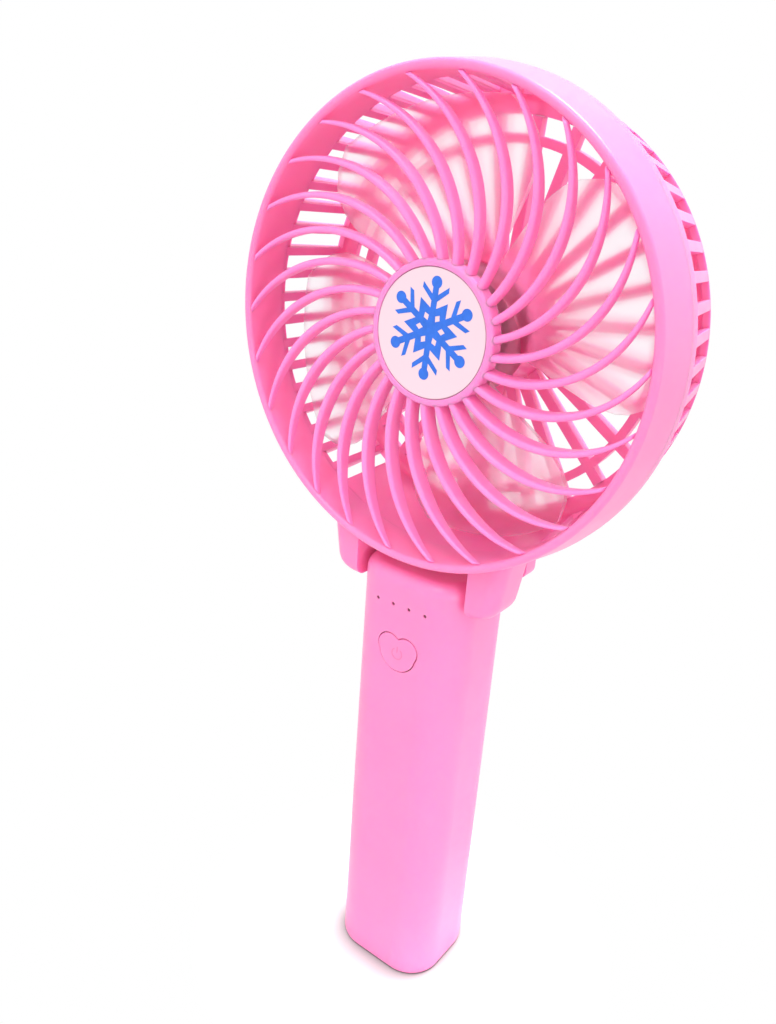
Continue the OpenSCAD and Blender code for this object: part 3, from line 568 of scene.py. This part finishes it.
# Cage flare, in mm: the hoop and bars that carry the band's widening on over the cage
SLOTS, SLOT_W = 56, 3.64
FIRST, LAST = -9, 36  # the slots at both ends of the row; the cage is closed below them
BAR_STEPS, CLOSED_STEPS = 4, 48
PART_GAP, HOOP_T, CAGE_END = 0.05, 2.2, 14.2
UNDER, BAR_LAP, BAR_END = 1.0, 0.2, 0.02  # depth below the cage's face, lap on the hoop, step at the end
hoop_y = PART_Y + PART_GAP
hoop_end = hoop_y + HOOP_T
fall = (wide - CAGE_R) / (CAGE_END - hoop_y)
under_fall = (BAND_R - CAGE_R) / (CAGE_END - hoop_y)
hoop_in = BAND_R - UNDER
skin = bmesh.new()
lathe(skin, [(hoop_in, hoop_y), (wide, hoop_y), (wide, hoop_end), (hoop_in, hoop_end)])
bar_profile = [
    (hoop_in - under_fall * HOOP_T, hoop_end - BAR_LAP),
    (wide - fall * HOOP_T, hoop_end - BAR_LAP),
    (CAGE_R - BAR_END, CAGE_END),
    (CAGE_R - UNDER, CAGE_END),
]
slot_step = 360 / SLOTS
half_slot = math.degrees(math.asin(SLOT_W / 2 / BAND_R))
for i in range(FIRST + 1, LAST + 1):
    bar_start, bar_end = (i - 0.5) * slot_step + half_slot, (i + 0.5) * slot_step - half_slot
    lathe(skin, bar_profile, bar_start, bar_end, BAR_STEPS)
closed_start = (LAST + 0.5) * slot_step + half_slot
closed_end = (FIRST + 0.5) * slot_step - half_slot + 360
lathe(skin, bar_profile, closed_start, closed_end, CLOSED_STEPS)
shade(skin)
flare = mesh_object("cage_flare", skin, PINK_ROUND)
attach(flare, "head")

# Snowflake print: six arms, each from the middle out to its round tip; sizes in mm
SNOW_T, SNOW_RISE, SNOW_ARMS, SNOW_TURN = 0.04, 1.1, 6, math.radians(4.5)
BALL_Z, BALL_R, STEM = 9.75, 1.3, 0.72
side_points = [(0.95, 1.645), (0.8, 2.82), (1.875, 3.248), (3.45, 5.976), (STEM, 4.35)]
side_points += [(STEM, 5.85), (3.3, 8.15), (3.25, 9.3), (STEM, 7.25)]
ball_open = math.degrees(math.acos(STEM / BALL_R))
ball = corner((0, BALL_Z), BALL_R, -ball_open, 180 + ball_open, 24)
outline = [(0.0, 0.0)] + side_points + ball + [(-x, z) for x, z in reversed(side_points)]
last = len(outline) - 1
meeting_edges = (0, 3, last - 3, last)  # where an arm meets its neighbours
arm = bmesh.new()
arm_outline = [(x * MM, z * MM) for x, z in outline]
slab(arm, arm_outline, badge_low.y - SNOW_T * MM, SNOW_T * MM, open_edges=meeting_edges)
snow = mesh_object("snow_print", arm)
repeat_round(snow, BLUE, SNOW_ARMS, HEAD_Z + SNOW_RISE * MM, SNOW_TURN)
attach(snow, "head")

# Power mark on the button, the common sign: an open ring and a stroke, in mm
MARK_T, MARK_LINE, MARK_Z = 0.02, 0.28, 98.6
RING_R, RING_START, RING_END = 1.45, 125, 415
STROKE_START, STROKE_END = 0.3, 1.9
mark_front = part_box("power_button")[0].y - MARK_T * MM
icon = bmesh.new()
ring = arc_band((0, MARK_Z), RING_R, MARK_LINE, RING_START, RING_END)
stroke = bar((0, MARK_Z + STROKE_START), (0, MARK_Z + STROKE_END), MARK_LINE)
for shape in (ring, stroke):
    slab(icon, shape, mark_front, MARK_T * MM)
mark = mesh_object("power_mark", icon, MARK)
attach(mark, "button")


# Studio: pale floor, white surroundings, soft lights
FLOOR_HALF = 6.0
SKY_LIGHT = 1.18

ground = bmesh.new()
bmesh.ops.create_grid(ground, x_segments=1, y_segments=1, size=FLOOR_HALF)
floor = mesh_object("studio_floor", ground, sheet("studio_floor"))

world = bpy.data.worlds.new("studio")
scene.world = world
world.use_nodes = True
sky = world.node_tree
light_sky = sky.nodes["Background"]
light_sky.inputs["Color"].default_value = (1.0, 1.0, 1.0, 1)
light_sky.inputs["Strength"].default_value = SKY_LIGHT
seen_sky = sky.nodes.new("ShaderNodeBackground")
seen_sky.inputs["Color"].default_value = (1.0, 1.0, 1.0, 1)
seen_sky.inputs["Strength"].default_value = 1.0
rays = sky.nodes.new("ShaderNodeLightPath")
camera_or_glossy = sky.nodes.new("ShaderNodeMath")
camera_or_glossy.operation = "MAXIMUM"
sky.links.new(rays.outputs["Is Camera Ray"], camera_or_glossy.inputs[0])
sky.links.new(rays.outputs["Is Glossy Ray"], camera_or_glossy.inputs[1])
direct = sky.nodes.new("ShaderNodeMath")
direct.operation = "MAXIMUM"
sky.links.new(camera_or_glossy.outputs["Value"], direct.inputs[0])
sky.links.new(rays.outputs["Is Transmission Ray"], direct.inputs[1])
both = sky.nodes.new("ShaderNodeMixShader")
sky.links.new(direct.outputs["Value"], both.inputs["Fac"])
sky.links.new(light_sky.outputs["Background"], both.inputs[1])
sky.links.new(seen_sky.outputs["Background"], both.inputs[2])
sky.links.new(both.outputs["Shader"], sky.nodes["World Output"].inputs["Surface"])


def soft_light(name, place, aim, size, power, spread=180):
    """A round soft lamp that fans out over spread degrees."""
    lamp = bpy.data.lights.new(name, "AREA")
    lamp.shape = "DISK"
    lamp.size = size
    lamp.energy = power
    lamp.spread = math.radians(spread)
    made = bpy.data.objects.new(name, lamp)
    made.location = place
    made.rotation_euler = (Vector(aim) - Vector(place)).to_track_quat("-Z", "Y").to_euler()
    scene.collection.objects.link(made)


soft_light("top", (0.12, 0.28, 0.95), (0, 0, HEAD_Z), size=0.4, power=7.8)
soft_light("front", (0.02, -0.5, 0.85), (0, 0, HEAD_Z), size=0.4, power=2.3)
soft_light("low_key", (0.5, -0.3, 0.07), (0, 0, 0.03), size=0.2, power=0.05, spread=30)

# Camera at the photo's angle
PHOTO_H, FOCAL_PX, SENSOR = 1024, 880.25, 36.0  # picture height and focal length in pixels, film in mm
CAMERA_PLACE = (0.104914, -0.165787, 0.208654)
CAMERA_TURN = [math.radians(a) for a in (68.2038, -3.7969, 37.6022)]
camera = bpy.data.objects.new("camera", bpy.data.cameras.new("camera"))
camera.data.sensor_width = SENSOR
camera.data.lens = FOCAL_PX / PHOTO_H * SENSOR
camera.data.clip_start = 0.01
camera.data.clip_end = 50.0
camera.matrix_world = Matrix.Translation(CAMERA_PLACE) @ Euler(CAMERA_TURN).to_matrix().to_4x4()
scene.collection.objects.link(camera)
scene.camera = camera
scene.view_settings.view_transform = "Standard"
